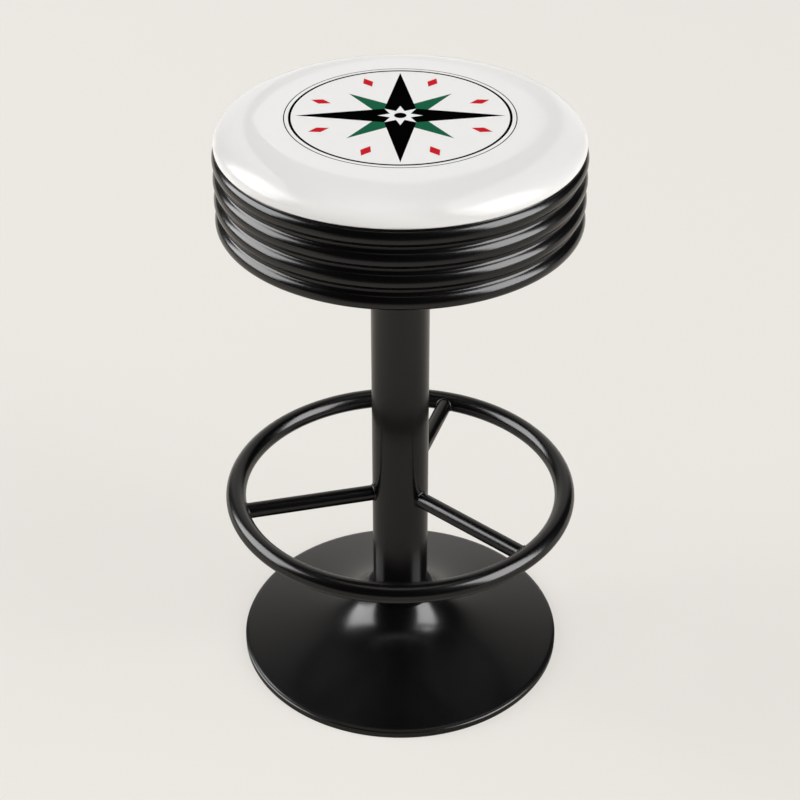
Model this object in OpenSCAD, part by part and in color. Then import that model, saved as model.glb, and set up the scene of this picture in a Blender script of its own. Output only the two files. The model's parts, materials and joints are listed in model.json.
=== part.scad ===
// Round bar stool: a swivelling cushion in a ribbed steel band, a tube column with
// a foot ring on three spokes, and a spun trumpet cover over a cast-iron base.
// Millimetres. +Z is up and the origin is on the floor under the column.
// The front of the stool faces -Y. Angles run counterclockwise from +X, seen from above.

/* [Overall] */
// Floor to the middle of the cushion
stool_h = 762; // [680:1:840]
// Outer radius of the base cover
base_r = 209.7; // [190:0.5:235]

/* [Cushion] */
// Height of the cushion above the band's upper edge
cushion_rise = 33; // [24:0.5:45]
// How far the cushion bulges out past the ribs, negative where it stays inside them
cushion_overhang = -2.5; // [-4:0.1:2]
// How squarely the crown turns down at its edge
crown_power = 8.5; // [4:0.1:12]
// Radius of the roll under the cushion's edge
roll_r = 4; // [2.5:0.1:5.5]
// Thickness of the vinyl cover
vinyl_t = 1.2; // [0.8:0.1:1.6]
// Width of the cover's hem, folded under the board
hem_w = 28; // [24:0.5:40]
// Number of staples in the hem
staple_count = 20; // [12:1:32]
// Width of a staple's crown
staple_w = 11; // [8:0.5:13]
// Length of a staple's legs
staple_leg = 9; // [6:0.5:13]
// Thickness of the staple wire
staple_t = 0.8; // [0.6:0.1:1.1]

/* [Ribbed band] */
// Radius over the crests of the ribs
band_crest_r = 215.6; // [205:0.1:225]
// Number of rounded ribs
rib_count = 4; // [2:1:5]
// Radius of a rib's arc
rib_r = 10.4; // [9.2:0.1:10.8]
// How far a rib stands out from the plain wall
rib_depth = 7; // [5.6:0.1:7.6]
// Radius of the hollow where a rib meets the plain wall
cove_r = 4; // [3:0.1:4.9]
// Distance from one rib to the next
rib_pitch = 26; // [25:0.1:27]
// Upper edge of the band to the middle of the first rib
rib_drop = 10.8; // [10.6:0.1:12]
// Radius of the rolled upper edge
lip_r = 1.5; // [1.3:0.1:1.8]
// Thickness of the band's steel strip
strip_t = 1.2; // [0.8:0.1:1.6]
// Width of the flange turned in under the board
flange_w = 15; // [13:0.5:20]

/* [Seat board] */
// Thickness of the plywood board
board_t = 18; // [16:0.5:24]
// Radius of the hole for the pivot nut
board_hole_r = 24; // [20:0.5:30]
// Number of screws through the band's flange
band_screw_count = 8; // [4:1:12]
// Shank radius of a band screw
band_screw_r = 2; // [1.5:0.1:2.5]
// Length of a band screw under its head
band_screw_l = 16; // [12:0.5:18]

/* [Swivel] */
// Thickness of each swivel plate
plate_t = 3; // [2.6:0.1:4]
// Width of the square upper plate
upper_plate_w = 170; // [166:1:190]
// Corner radius of the upper plate
plate_corner_r = 12; // [6:0.5:16]
// Radius of the round lower plate and of the column's top plate
lower_plate_r = 88; // [85:0.5:92]
// Gap between the two swivel plates
race_gap = 5; // [4.4:0.1:5.6]
// Radius of a bearing ball
ball_r = 4; // [3.6:0.1:4.3]
// Radius of the circle of balls
ball_circle_r = 55; // [52:0.5:57]
// Number of bearing balls
ball_count = 16; // [8:1:24]
// Thickness of the ball cage
cage_t = 1.6; // [1:0.1:2.4]
// Radial width of the ball cage
cage_w = 17; // [14:0.5:19]
// Radius of the pivot pin
pin_r = 8; // [6:0.1:9]
// Radius of the pivot pin's head
pin_head_r = 12.5; // [11:0.1:14]
// Height of the pivot pin's head
pin_head_h = 5; // [3:0.1:5.6]
// Height of the pivot nut
pin_nut_h = 8; // [6:0.1:9]
// Thickness of the washer under the pivot nut
pin_washer_t = 2; // [1.2:0.1:3]
// Distance of the seat bolts from the middle, along X and along Y
seat_bolt_at = 74; // [73:0.5:76]
// Shank radius of a seat bolt
seat_bolt_r = 4; // [3:0.1:4]
// Height of a seat bolt's hexagon head
seat_bolt_head_h = 5.3; // [4:0.1:6]
// Thickness of a seat bolt's washer
seat_washer_t = 1.6; // [1:0.1:2]
// Barrel radius of a tee nut
tee_barrel_r = 5; // [4.8:0.1:6]
// Barrel length of a tee nut
tee_barrel_l = 10; // [7:0.5:12]
// Thickness of a tee nut's flange
tee_flange_t = 1.5; // [1:0.1:2]

/* [Column] */
// Outer radius of the column
column_r = 35.9; // [30:0.1:38]
// Wall thickness of the column
column_t = 2; // [1.5:0.1:3]
// Thickness of the plate welded on the column
top_plate_t = 6; // [5.6:0.1:8]
// Radius of the circle of plate screws
plate_screw_at = 76; // [74:0.5:77]
// Number of plate screws
plate_screw_count = 4; // [3:1:6]
// Shank radius of a plate screw
plate_screw_r = 3; // [2:0.1:3]
// Height of a plate nut
plate_nut_h = 5; // [4:0.1:6]
// Leg length of a weld bead on the column
weld_leg = 2.2; // [1.6:0.1:3]

/* [Foot ring] */
// Floor to the middle of the foot ring's tube
ring_z = 239.2; // [180:0.5:320]
// Radius of the foot ring, to the middle of its tube
ring_r = 211.4; // [190:0.5:230]
// Radius of the foot ring's tube
ring_tube_r = 12.7; // [12.4:0.1:14]
// Wall thickness of the foot ring's tube
ring_tube_t = 1.5; // [1.2:0.1:2.5]
// Radius of a spoke
spoke_r = 10; // [8:0.1:10.3]
// Wall thickness of a spoke
spoke_t = 1.5; // [1.2:0.1:2.5]
// How far the spokes' middle lies under the middle of the foot ring
spoke_drop = 1.2; // [0:0.1:1.5]
// Direction of the spoke at the back
spoke_back_angle = 72.4; // [60:0.1:90]
// Direction of the spoke on the left
spoke_left_angle = 193.9; // [180:0.1:210]
// Direction of the spoke on the right
spoke_right_angle = 317.9; // [300:0.1:330]
// Leg length of a weld bead on the foot ring
ring_weld_leg = 1; // [0.8:0.1:1.3]
// Upright edge of a spoke's weld bead, before its slope starts
weld_toe = 0.4; // [0.3:0.1:0.6]
// Radius of the vent hole drilled from each spoke into the ring
vent_r = 3; // [2:0.1:4]

/* [Base] */
// Thickness of the cover's sheet steel
cover_t = 1.2; // [0.8:0.1:1.5]
// Width of the cover's turned-in neck, round the column
neck_w = 8.6; // [7.2:0.1:12]
// Floor to the neck of the cover
neck_z = 74; // [66:0.5:90]
// Slope of the cover at its neck, in degrees
neck_slope = 60; // [50:0.5:75]
// Slope of the cover at its rim, in degrees
rim_slope = 12.5; // [9:0.5:16]
// Length of the bell curve's straight pull at the neck
neck_pull = 46; // [36:0.5:52]
// Length of the bell curve's straight pull at the rim
rim_pull = 105; // [90:0.5:115]
// Radius of the rounding down to the cover's edge
rim_round_r = 14; // [10:0.1:18]
// Slope of the cover where its rounding ends in the upright edge, in degrees
rim_edge_slope = 40; // [30:0.5:50]
// Floor to the top of the cover's upright edge
skirt_top = 7.5; // [6.5:0.1:9]
// Height of the collar on the cover's neck
collar_h = 12; // [8:0.5:20]
// Radius of the collar's rounded upper edge
collar_round_r = 5; // [3:0.1:7]
// Distance from the cover's edge in to the cast-iron weight
weight_inset = 14.5; // [12:0.5:22]
// Thickness of the weight's plate
weight_t = 8; // [6:0.5:14]
// How far the weight's hub reaches out past the column
hub_margin = 12; // [8:0.5:20]
// Floor to the top of the hub, where the column stands
hub_z = 28; // [26:0.5:31]
// Gap between the weight and the cover
weight_gap = 1.5; // [1:0.1:4]
// Thickness of the plate welded into the column's foot
foot_plate_t = 12; // [8:0.5:16]
// Radius of the base bolt
base_bolt_r = 8; // [6:0.1:9]
// Height of the base bolt's hexagon head
base_bolt_head_h = 9; // [6:0.1:10]
// Outer radius of the base bolt's washer
base_washer_r = 17; // [15:0.1:22]
// Thickness of the base bolt's washer
base_washer_t = 2.5; // [1.5:0.1:3]

/* [Floor ring] */
// Thickness of the rubber ring under the cover's edge
floor_lip_t = 1; // [0.6:0.1:2.5]
// Thickness of the rubber ring under the weight
floor_ring_t = 3; // [2.6:0.1:3.6]
// Width of the rubber ring
floor_ring_w = 26; // [22:0.5:34]

/* [Fits] */
// Radial gap of a pin, screw or ball in its hole or groove
run_gap = 0.05; // [0.03:0.01:0.1]
// Radial gap of a bolt in a clearance hole
hole_gap = 0.3; // [0.2:0.05:0.5]
// Gap between the cushion and what holds it
soft_gap = 0.3; // [0.2:0.05:0.5]
// Gap of the pivot washer over the upper plate
thrust_gap = 0.1; // [0.05:0.01:0.2]
// Gap around a head or nut that sits in a recess
recess_gap = 1; // [0.5:0.1:2]
// How far a thread stands out of its nut, or stops short in a tapped hole
thread_tail = 1; // [0.5:0.1:2]

/* [Hidden] */
$fn = 96;

// Steps along the bell curve, the rounded rim, the roll under the crown and the crown
BELL_STEPS = 24;
RIM_STEPS = 5;
ROLL_STEPS = 6;
// Steps along a rib, a hollow beside it and the band's rolled edge
RIB_STEPS = 12;
COVE_STEPS = 4;
LIP_STEPS = 7;
CROWN_STEPS = 16;
// Sides of the foot ring where a thin weld bead is coped to it
BEAD_SIDES = 288;
// How far a cutting shape runs past the face that it cuts
OVER = 1;

// Levels of the seat, worked down from the top
band_top = stool_h - cushion_rise;
cushion_z = band_top + soft_gap;
function rib_z(i) = band_top - rib_drop - i * rib_pitch;
rib_half = sqrt(rib_depth * (2 * rib_r - rib_depth));
flange_z = rib_z(rib_count - 1) - rib_half;
hem_z = flange_z + strip_t;
board_z = hem_z + vinyl_t;
board_top = board_z + board_t;
upper_plate_z = board_z - plate_t;
race_z = upper_plate_z - race_gap / 2;
lower_plate_top = upper_plate_z - race_gap;
lower_plate_z = lower_plate_top - plate_t;
column_top = lower_plate_z - top_plate_t;

// Radii of the seat, worked in from the ribs
cushion_r = band_crest_r + cushion_overhang;
rib_centre_r = band_crest_r - rib_r;
band_wall_r = band_crest_r - rib_depth;
band_in_r = band_wall_r - strip_t;
wall_r = band_in_r - soft_gap;
board_r = wall_r - vinyl_t - soft_gap;
crown_h = stool_h - cushion_z - roll_r;
band_screw_at = band_in_r - flange_w * 0.6;
staple_at = wall_r - hem_w + (hem_w - flange_w) / 2;

// Heads and nuts, in the proportions that such fasteners have
band_head_r = 2 * band_screw_r;
band_head_h = 1.2 * band_screw_r;
seat_head_r = 1.85 * seat_bolt_r;
seat_washer_r = 2.1 * seat_bolt_r;
tee_flange_r = 2 * tee_barrel_r;
plate_head_r = 1.85 * plate_screw_r;
plate_head_h = plate_head_r - plate_screw_r;
plate_nut_r = 1.9 * plate_screw_r;
pin_nut_r = 1.73 * pin_r;
pin_washer_r = 1.9 * pin_r;
base_head_r = 1.73 * base_bolt_r;

// Levels of the base, worked up from the floor
recess_top = floor_ring_t + base_bolt_head_h + base_washer_t + recess_gap;
weight_top = floor_ring_t + weight_t;
pin_end = board_z + thrust_gap + pin_washer_t + pin_nut_h + thread_tail;

// Radii of the base
rim_centre_r = base_r - rim_round_r * sin(rim_edge_slope);
rim_centre_z = skirt_top - rim_round_r * cos(rim_edge_slope);
column_bore_r = column_r - column_t;
neck_bore_r = column_r + run_gap;
neck_r = neck_bore_r + neck_w;
weight_r = base_r - weight_inset;
hub_r = column_r + hub_margin;

// Points of an arc from one angle to another, both ends among them
function arc(middle, r, from, to, steps) =
  [for (i = [0 : steps]) let (a = from + (to - from) * i / steps) middle + r * [cos(a), sin(a)]];

// Angle above the horizontal where a rib's arc turns into the hollow beside it, and the
// height from the rib's middle to the middle of the hollow's arc
rib_turn = acos(1 - rib_depth / (rib_r + cove_r));
cove_drop = (rib_r + cove_r) * sin(rib_turn);
// Height of the crease between the rolled edge and the first rib, under the band's top
crease_drop = 1.5 * lip_r;

// A list without its first and last entries
function inner_points(list) = [for (i = [1 : len(list) - 2]) list[i]];

// The hollow from under a rib to the top of the next one
function cove_points(i, inset) = let (at_r = band_wall_r + cove_r, r = cove_r + inset)
  concat(
    arc([at_r, rib_z(i) - cove_drop], r, 180 - rib_turn, 180, COVE_STEPS),
    arc([at_r, rib_z(i + 1) + cove_drop], r, 180, 180 + rib_turn, COVE_STEPS)
  );

// Points of the band's outer face under its rolled edge, moved inwards by an inset, with
// the angles at which the first rib's arc starts and the last one's ends
function band_outline(inset, first, last) = [
  for (i = [0 : rib_count - 1]) each concat(
    arc([rib_centre_r, rib_z(i)], rib_r - inset, i == 0 ? first : rib_turn,
        i == rib_count - 1 ? -last : -rib_turn, RIB_STEPS),
    i == rib_count - 1 ? [] : inner_points(cove_points(i, inset))
  )
];

// Outline of the cushion above the band, moved inwards by an inset: the step over the
// band's lip, the roll under the edge and the crown, from the wall up to the middle
function cushion_outline(inset) = concat(
  [[wall_r - inset, cushion_z + inset]],
  [for (i = [0 : ROLL_STEPS])
    let (a = -90 + 90 * i / ROLL_STEPS, r = roll_r - inset)
    [cushion_r - roll_r + r * cos(a), cushion_z + roll_r + r * sin(a)]],
  [for (i = [1 : CROWN_STEPS])
    let (a = 90 - 90 * i / CROWN_STEPS)
    [(cushion_r - inset) * pow(sin(a), 2 / crown_power),
     cushion_z + roll_r + (crown_h - inset) * cos(a)]]
);

// Points of the base cover's outer face, from the neck out to the rim and down to the
// skirt, moved inwards by an inset along the face's own normal
function bell_end() = [rim_centre_r, rim_centre_z] + rim_round_r * [sin(rim_slope), cos(rim_slope)];
function bell_points() = [
  [neck_r, neck_z],
  [neck_r, neck_z] + neck_pull * [cos(neck_slope), -sin(neck_slope)],
  bell_end() + rim_pull * [-cos(rim_slope), sin(rim_slope)],
  bell_end()
];
function bell_at(t) = let (p = bell_points(), s = 1 - t)
  s * s * s * p[0] + 3 * s * s * t * p[1] + 3 * s * t * t * p[2] + t * t * t * p[3];
function bell_way(t) = let (p = bell_points(), s = 1 - t)
  s * s * (p[1] - p[0]) + 2 * s * t * (p[2] - p[1]) + t * t * (p[3] - p[2]);
function bell_inset(t, inset) = let (w = bell_way(t))
  bell_at(t) + inset * [w[1], -w[0]] / norm(w);
function bell_outline(inset) = [for (i = [0 : BELL_STEPS]) bell_inset(i / BELL_STEPS, inset)];
function cover_outline(inset) = let (r = rim_round_r - inset)
  concat(
    [for (i = [0 : BELL_STEPS - 1]) bell_inset(i / BELL_STEPS, inset)],
    arc([rim_centre_r, rim_centre_z], r, 90 - rim_slope,
        acos((base_r - inset - rim_centre_r) / r), RIM_STEPS)
  );

function reversed(list) = [for (i = [len(list) - 1 : -1 : 0]) list[i]];

// A ring or washer from radius r_in to r_out, standing on z0
module ring(r_in, r_out, z0, h) {
  translate([0, 0, z0])
    rotate_extrude()
      translate([r_in, 0])
        square([r_out - r_in, h]);
}

module disc(r, z0, h) {
  translate([0, 0, z0])
    cylinder(h = h, r = r);
}

// A hexagon head or nut, measured to its corners
module hexagon(corner_r, z0, h) {
  translate([0, 0, z0])
    cylinder(h = h, r = corner_r, $fn = 6);
}

// Copies of the children on a circle, the first one at the start angle
module around(count, at_r, start = 0) {
  for (i = [0 : count - 1])
    rotate(start + 360 * i / count)
      translate([at_r, 0, 0])
        children();
}

// Copies of the children at the four corners of a square
module at_corners(at) {
  for (x = [-at, at], y = [-at, at])
    translate([x, y, 0])
      children();
}

module rounded_square(w, r) {
  square([w, w - 2 * r], center = true);
  square([w - 2 * r, w], center = true);
  for (x = [-1, 1], y = [-1, 1])
    translate([x, y] * (w / 2 - r))
      circle(r);
}

// The groove that the balls run in, as the shape that is cut away
module race_groove() {
  translate([0, 0, race_z])
    rotate_extrude()
      translate([ball_circle_r, 0])
        circle(ball_r + run_gap);
}

// A shape laid along a spoke: its +Z runs out from the middle of the stool
module along_spoke(angle) {
  translate([0, 0, ring_z - spoke_drop])
    rotate(angle)
      rotate([0, 90, 0])
        children();
}

module column_solid() {
  disc(column_r, hub_z, column_top - hub_z);
}

module ring_torus(tube_r) {
  translate([0, 0, ring_z])
    rotate_extrude()
      translate([ring_r, 0])
        circle(tube_r);
}

module seat_cover() {
  color("white")
  difference() {
    rotate_extrude()
      polygon(concat(
        [[wall_r - hem_w, hem_z], [wall_r, hem_z]],
        cushion_outline(0),
        reversed(cushion_outline(vinyl_t)),
        [[wall_r - vinyl_t, board_z], [wall_r - hem_w, board_z]]
      ));
    around(band_screw_count, band_screw_at)
      disc(band_screw_r + hole_gap, hem_z - OVER, vinyl_t + 2 * OVER);
  }
}

module seat_foam() {
  color("khaki")
  rotate_extrude()
    polygon(concat([[0, board_top], [board_r, board_top]], cushion_outline(vinyl_t + soft_gap)));
}

module seat_board() {
  color([0.1, 0.09, 0.08])
  difference() {
    disc(board_r, board_z, board_t);
    disc(board_hole_r, board_z - OVER, board_t + 2 * OVER);
    at_corners(seat_bolt_at) {
      disc(tee_barrel_r + run_gap, board_z - OVER, board_t + 2 * OVER);
      disc(tee_flange_r + run_gap, board_top - tee_flange_t, tee_flange_t + OVER);
    }
    around(band_screw_count, band_screw_at)
      disc(band_screw_r + run_gap, board_z - OVER, band_screw_l - strip_t - vinyl_t + 2 * OVER);
  }
}

// A flat crown across the hem and two legs driven up into the board
module cover_staples() {
  color("silver")
  around(staple_count, staple_at, 180 / staple_count)
    translate([-staple_t / 2, -staple_w / 2, hem_z - staple_t]) {
      cube([staple_t, staple_w, staple_t]);
      for (y = [0, staple_w - staple_t])
        translate([0, y, 0])
          cube([staple_t, staple_t, staple_t + staple_leg]);
    }
}

// A rolled strip with its upper edge curled outwards and a flange turned in at its foot
module rib_band() {
  inner_r = rib_r - strip_t;
  first_inner = acos((band_in_r - rib_centre_r) / inner_r);
  last_inner = asin((rib_half - strip_t) / inner_r);
  color([0.05, 0.05, 0.055])
  difference() {
    rotate_extrude()
      polygon(concat(
        arc([band_in_r + lip_r, band_top - lip_r], lip_r, 180, -30, LIP_STEPS),
        band_outline(0, asin((rib_drop - crease_drop) / rib_r), asin(rib_half / rib_r)),
        [[band_in_r - flange_w, flange_z], [band_in_r - flange_w, flange_z + strip_t]],
        reversed(band_outline(strip_t, first_inner, last_inner))
      ));
    around(band_screw_count, band_screw_at)
      disc(band_screw_r + hole_gap, flange_z - OVER, strip_t + 2 * OVER);
  }
}

module band_screws() {
  color("silver")
  around(band_screw_count, band_screw_at) {
    disc(band_screw_r, flange_z, band_screw_l);
    difference() {
      disc(band_head_r, flange_z - band_head_h, band_head_h);
      for (a = [0, 90])
        rotate(a)
          translate([-band_screw_r, -band_screw_r / 5, flange_z - band_head_h - OVER])
            cube([2 * band_screw_r, band_screw_r * 2 / 5, OVER + band_head_h / 2]);
    }
  }
}

module swivel_upper_plate() {
  color("dimgray")
  difference() {
    translate([0, 0, upper_plate_z])
      linear_extrude(plate_t)
        rounded_square(upper_plate_w, plate_corner_r);
    disc(pin_r + run_gap, upper_plate_z - OVER, plate_t + 2 * OVER);
    at_corners(seat_bolt_at)
      disc(seat_bolt_r + hole_gap, upper_plate_z - OVER, plate_t + 2 * OVER);
    race_groove();
  }
}

module seat_bolts() {
  head_top = upper_plate_z - seat_washer_t;
  color("silver")
  at_corners(seat_bolt_at) {
    hexagon(seat_head_r, head_top - seat_bolt_head_h, seat_bolt_head_h);
    disc(seat_bolt_r, head_top, board_top - tee_flange_t - head_top);
  }
}

module seat_bolt_washers() {
  color("silver")
  at_corners(seat_bolt_at)
    ring(seat_bolt_r + hole_gap, seat_washer_r, upper_plate_z - seat_washer_t, seat_washer_t);
}

module tee_nuts() {
  barrel_z = board_top - tee_flange_t - tee_barrel_l;
  color("silver")
  at_corners(seat_bolt_at) {
    ring(seat_bolt_r + run_gap, tee_barrel_r, barrel_z, tee_barrel_l);
    ring(seat_bolt_r + run_gap, tee_flange_r, board_top - tee_flange_t, tee_flange_t);
  }
}

module ball_cage() {
  color("goldenrod")
  difference() {
    ring(ball_circle_r - cage_w / 2, ball_circle_r + cage_w / 2, race_z - cage_t / 2, cage_t);
    around(ball_count, ball_circle_r)
      disc(ball_r + run_gap, race_z - cage_t, 2 * cage_t);
  }
}

module bearing_balls() {
  color("silver")
  around(ball_count, ball_circle_r)
    translate([0, 0, race_z])
      sphere(ball_r);
}

module swivel_lower_plate() {
  color("dimgray")
  difference() {
    disc(lower_plate_r, lower_plate_z, plate_t);
    disc(pin_r + run_gap, lower_plate_z - OVER, plate_t + 2 * OVER);
    around(plate_screw_count, plate_screw_at, 180 / plate_screw_count) {
      disc(plate_screw_r + hole_gap, lower_plate_z - OVER, plate_t + 2 * OVER);
      translate([0, 0, lower_plate_top - plate_head_h])
        cylinder(h = plate_head_h, r1 = plate_screw_r + run_gap, r2 = plate_head_r + run_gap);
    }
    race_groove();
  }
}

module pivot_pin() {
  color("silver") {
    disc(pin_head_r, lower_plate_z - pin_head_h, pin_head_h);
    disc(pin_r, lower_plate_z, pin_end - lower_plate_z);
  }
}

module pivot_washer() {
  color("silver")
  ring(pin_r + run_gap, pin_washer_r, board_z + thrust_gap, pin_washer_t);
}

module pivot_nut() {
  color("silver")
  difference() {
    hexagon(pin_nut_r, board_z + thrust_gap + pin_washer_t, pin_nut_h);
    disc(pin_r + run_gap, board_z, pin_end - board_z + OVER);
  }
}

// Countersunk screws down through the lower plate and the column's top plate
module plate_screws() {
  color("silver")
  around(plate_screw_count, plate_screw_at, 180 / plate_screw_count) {
    translate([0, 0, lower_plate_top - plate_head_h])
      cylinder(h = plate_head_h, r1 = plate_screw_r, r2 = plate_head_r);
    disc(plate_screw_r, column_top - plate_nut_h - thread_tail,
         lower_plate_top - plate_head_h - column_top + plate_nut_h + thread_tail);
  }
}

module plate_nuts() {
  color("silver")
  around(plate_screw_count, plate_screw_at, 180 / plate_screw_count)
    difference() {
      hexagon(plate_nut_r, column_top - plate_nut_h, plate_nut_h);
      disc(plate_screw_r + run_gap, column_top - plate_nut_h - OVER, plate_nut_h + 2 * OVER);
    }
}

module column_top_plate() {
  color([0.05, 0.05, 0.055])
  difference() {
    disc(lower_plate_r, column_top, top_plate_t);
    disc(pin_head_r + recess_gap, column_top - OVER, top_plate_t + 2 * OVER);
    around(plate_screw_count, plate_screw_at, 180 / plate_screw_count)
      disc(plate_screw_r + hole_gap, column_top - OVER, top_plate_t + 2 * OVER);
  }
}

// A fillet bead in the corner between the column and its top plate
module column_top_weld() {
  color([0.05, 0.05, 0.055])
  rotate_extrude()
    polygon([
      [column_r, column_top - weld_leg],
      [column_r + weld_leg, column_top],
      [column_r, column_top]
    ]);
}

module column_tube() {
  color([0.05, 0.05, 0.055])
  difference() {
    column_solid();
    disc(column_bore_r, hub_z - OVER, column_top - hub_z + 2 * OVER);
  }
}

// The bore of the tube is vented into each spoke through a drilled hole
module foot_ring() {
  color([0.05, 0.05, 0.055])
  difference() {
    ring_torus(ring_tube_r);
    ring_torus(ring_tube_r - ring_tube_t);
    for (a = [spoke_back_angle, spoke_left_angle, spoke_right_angle])
      along_spoke(a)
        cylinder(h = ring_r, r = vent_r);
  }
}

// A tube coped to the column at one end and to the foot ring at the other
module spoke(angle) {
  color([0.05, 0.05, 0.055])
  difference() {
    along_spoke(angle)
      cylinder(h = ring_r, r = spoke_r);
    along_spoke(angle)
      cylinder(h = ring_r + OVER, r = spoke_r - spoke_t);
    column_solid();
    ring_torus(ring_tube_r);
  }
}

module spoke_back() {
  spoke(spoke_back_angle);
}

module spoke_left() {
  spoke(spoke_left_angle);
}

module spoke_right() {
  spoke(spoke_right_angle);
}

// A fillet bead at each end of every spoke, coped to the column and to the foot ring
module spoke_welds() {
  ring_in = ring_r - ring_tube_r;
  color([0.05, 0.05, 0.055])
  for (angle = [spoke_back_angle, spoke_left_angle, spoke_right_angle]) {
    difference() {
      along_spoke(angle)
        rotate_extrude()
          polygon([
            [spoke_r, 0],
            [spoke_r + weld_leg, 0],
            [spoke_r + weld_leg, column_r + weld_toe],
            [spoke_r, column_r + weld_leg]
          ]);
      column_solid();
    }
    difference() {
      along_spoke(angle)
        rotate_extrude()
          polygon([
            [spoke_r, ring_in - ring_weld_leg],
            [spoke_r + ring_weld_leg, ring_in - weld_toe],
            [spoke_r + ring_weld_leg, ring_r],
            [spoke_r, ring_r]
          ]);
      ring_torus(ring_tube_r, $fn = BEAD_SIDES);
    }
  }
}

// A turned ring that closes the neck of the cover round the column
module column_collar() {
  color([0.05, 0.05, 0.055])
  translate([0, 0, neck_z])
    rotate_extrude()
      translate([neck_bore_r, 0])
        intersection() {
          square([neck_w, collar_h]);
          union() {
            square([neck_w - collar_round_r, collar_h]);
            square([neck_w, collar_h - collar_round_r]);
            translate([neck_w - collar_round_r, collar_h - collar_round_r])
              circle(collar_round_r);
          }
        }
}

// A spun trumpet with a turned-in neck and an upright skirt
module base_cover() {
  color([0.05, 0.05, 0.055])
  rotate_extrude()
    polygon(concat(
      [[neck_bore_r, neck_z - cover_t], [neck_bore_r, neck_z]],
      cover_outline(0),
      [[base_r, floor_lip_t], [base_r - cover_t, floor_lip_t]],
      reversed(cover_outline(cover_t))
    ));
}

// A cast plate under the cover, with a hub whose flank slopes at 45 degrees
module base_weight() {
  color("dimgray")
  difference() {
    rotate_extrude()
      intersection() {
        polygon(concat(
          [[0, floor_ring_t], [0, neck_z]],
          bell_outline(cover_t + weight_gap),
          [[rim_centre_r, floor_ring_t]]
        ));
        polygon([
          [0, floor_ring_t], [weight_r, floor_ring_t], [weight_r, weight_top],
          [hub_r + hub_z - weight_top, weight_top], [hub_r, hub_z], [0, hub_z]
        ]);
      }
    disc(base_bolt_r + hole_gap, floor_ring_t - OVER, hub_z + OVER);
    disc(base_washer_r + recess_gap, floor_ring_t - OVER, recess_top - floor_ring_t + OVER);
  }
}

module column_foot_plate() {
  color("dimgray")
  difference() {
    disc(column_bore_r - run_gap, hub_z, foot_plate_t);
    disc(base_bolt_r + run_gap, hub_z - OVER, foot_plate_t + 2 * OVER);
  }
}

module base_bolt() {
  head_top = recess_top - base_washer_t;
  color("silver") {
    hexagon(base_head_r, head_top - base_bolt_head_h, base_bolt_head_h);
    disc(base_bolt_r, head_top, hub_z + foot_plate_t - thread_tail - head_top);
  }
}

module base_washer() {
  color("silver")
  ring(base_bolt_r + hole_gap, base_washer_r, recess_top - base_washer_t, base_washer_t);
}

// A rubber ring: a lip under the cover's edge and a thicker band under the weight
module floor_ring() {
  color([0.08, 0.08, 0.08])
  rotate_extrude()
    translate([base_r - floor_ring_w, 0]) {
      square([floor_ring_w, floor_lip_t]);
      square([floor_ring_w - cover_t - hole_gap, floor_ring_t]);
    }
}

seat_cover();
seat_foam();
seat_board();
cover_staples();
rib_band();
band_screws();
swivel_upper_plate();
seat_bolts();
seat_bolt_washers();
tee_nuts();
ball_cage();
bearing_balls();
swivel_lower_plate();
pivot_pin();
pivot_washer();
pivot_nut();
plate_screws();
plate_nuts();
column_top_plate();
column_top_weld();
column_tube();
foot_ring();
spoke_back();
spoke_left();
spoke_right();
spoke_welds();
column_collar();
base_cover();
base_weight();
column_foot_plate();
base_bolt();
base_washer();
floor_ring();
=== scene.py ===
"""Round bar stool: finished surfaces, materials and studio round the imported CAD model."""
import json
import math

import bpy
import numpy as np
from bpy.props import FloatProperty, FloatVectorProperty, IntProperty, PointerProperty
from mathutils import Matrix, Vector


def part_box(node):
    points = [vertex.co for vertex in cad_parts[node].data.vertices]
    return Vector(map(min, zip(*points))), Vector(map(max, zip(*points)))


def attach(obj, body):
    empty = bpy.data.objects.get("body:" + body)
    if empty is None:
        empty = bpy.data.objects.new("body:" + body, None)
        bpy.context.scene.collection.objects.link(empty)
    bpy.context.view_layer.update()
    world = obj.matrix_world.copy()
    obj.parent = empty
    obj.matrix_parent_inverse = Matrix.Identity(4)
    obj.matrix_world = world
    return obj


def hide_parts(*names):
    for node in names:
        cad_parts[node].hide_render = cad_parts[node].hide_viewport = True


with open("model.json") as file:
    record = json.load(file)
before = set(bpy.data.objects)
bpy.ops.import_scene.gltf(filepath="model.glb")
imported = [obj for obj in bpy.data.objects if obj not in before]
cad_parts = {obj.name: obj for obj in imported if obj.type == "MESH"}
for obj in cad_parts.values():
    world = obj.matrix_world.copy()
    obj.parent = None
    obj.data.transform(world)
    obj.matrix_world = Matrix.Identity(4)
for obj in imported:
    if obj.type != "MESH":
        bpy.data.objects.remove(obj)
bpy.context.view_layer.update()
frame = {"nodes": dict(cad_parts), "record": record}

bl_info = {
    "name": "Round bar stool",
    "version": (1, 0, 0),
    "blender": (4, 5, 0),
    "location": "3D View > Sidebar > Stool",
    "description": "Dresses the packed bar stool with finished surfaces and a plain studio",
    "category": "Object",
}

TURN = 2 * math.pi

# Points round the pieces: as they are turned, and round a tube or a bead
AROUND = 288
AROUND_FOAM = 144
AROUND_COLUMN = 192
AROUND_RING = 360
AROUND_BASE = 384
ROUND_RING_TUBE = 48
ROUND_SPOKE = 64
ROUND_BEAD = 12

# Points along the crown and a spoke, and steps round the base's edge and from one point of a
# weld's line to the next
CROWN_POINTS = 72
SPOKE_POINTS = 12
EDGE_STEPS = 6
WELD_STEPS = 4

# A weld bead's radius between two ripples, and what a ripple adds, as shares of the weld's
WELD_LOW = 0.92
WELD_SWELL = 0.1

# Angle under its middle at which the band's rolled edge ends on the first rib, in degrees
LIP_END = 30

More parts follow.
